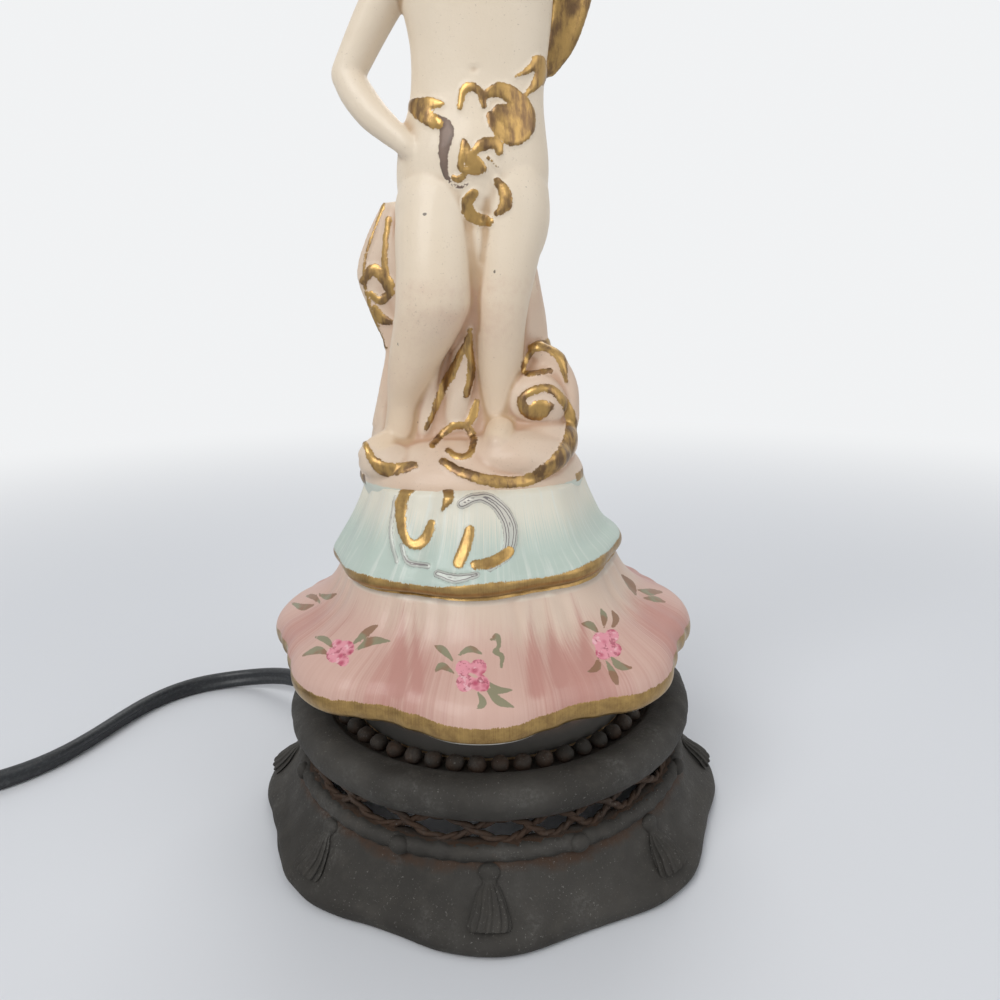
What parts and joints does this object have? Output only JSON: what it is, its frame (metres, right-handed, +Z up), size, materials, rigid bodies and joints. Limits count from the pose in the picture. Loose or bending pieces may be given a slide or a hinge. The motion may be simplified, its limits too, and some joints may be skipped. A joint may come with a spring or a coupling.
{
  "type": "figural table lamp",
  "caption": "Table lamp with a draped standing porcelain figure on a tiered, scalloped pedestal, a cast metal base with tassels and pierced frieze, and a screw socket on top.",
  "frame": {"origin": "on the table under the middle of the cast base", "axes": "+Z up along the stem, front of the figure towards -Y, switch knob towards +X"},
  "size_m": [0.3466, 0.2056, 0.369],
  "materials": {
    "aged_iron": "dark grey-brown patina with rust in the hollows",
    "porcelain": "satin glaze with painted pink, mint and gold",
    "brass": "aged, brushed",
    "zinc_steel": "zinc plated",
    "felt": "wool felt",
    "cork": "pressed cork",
    "card": "fibre card",
    "moulding": "phenolic moulding",
    "cord_plastic": "flexible black plastic"
  },
  "bodies": {
    "lamp": {"base_casting": "aged_iron", "felt_pads": "felt", "foot_gasket": "cork", "porcelain_figure": "porcelain", "stem_pipe": "zinc_steel", "seat_washer": "zinc_steel", "lock_washer": "zinc_steel", "stem_nut": "zinc_steel", "crown_cap": "brass", "spacer_sleeve": "brass", "lock_nut": "brass", "socket_cap": "brass", "set_screw": "zinc_steel", "socket_shell": "brass", "insulating_sleeve": "card", "socket_body": "moulding", "terminal_screws": "brass", "screw_shell": "brass", "centre_contact": "brass", "strain_relief": "cord_plastic", "inner_leads": "cord_plastic", "cord_run": "cord_plastic", "cord_coil": "cord_plastic", "cord_tail": "cord_plastic", "plug_body": "cord_plastic", "plug_blades": "brass"},
    "switch": {"switch_stem": "moulding", "turn_knob": "moulding"}
  },
  "joints": [
    {"name": "switch_turn", "type": "hinge", "parent": "lamp", "child": "switch", "pos_m": [0, 0, 0.322], "axis": [1, 0, 0], "continuous": true}
  ]
}
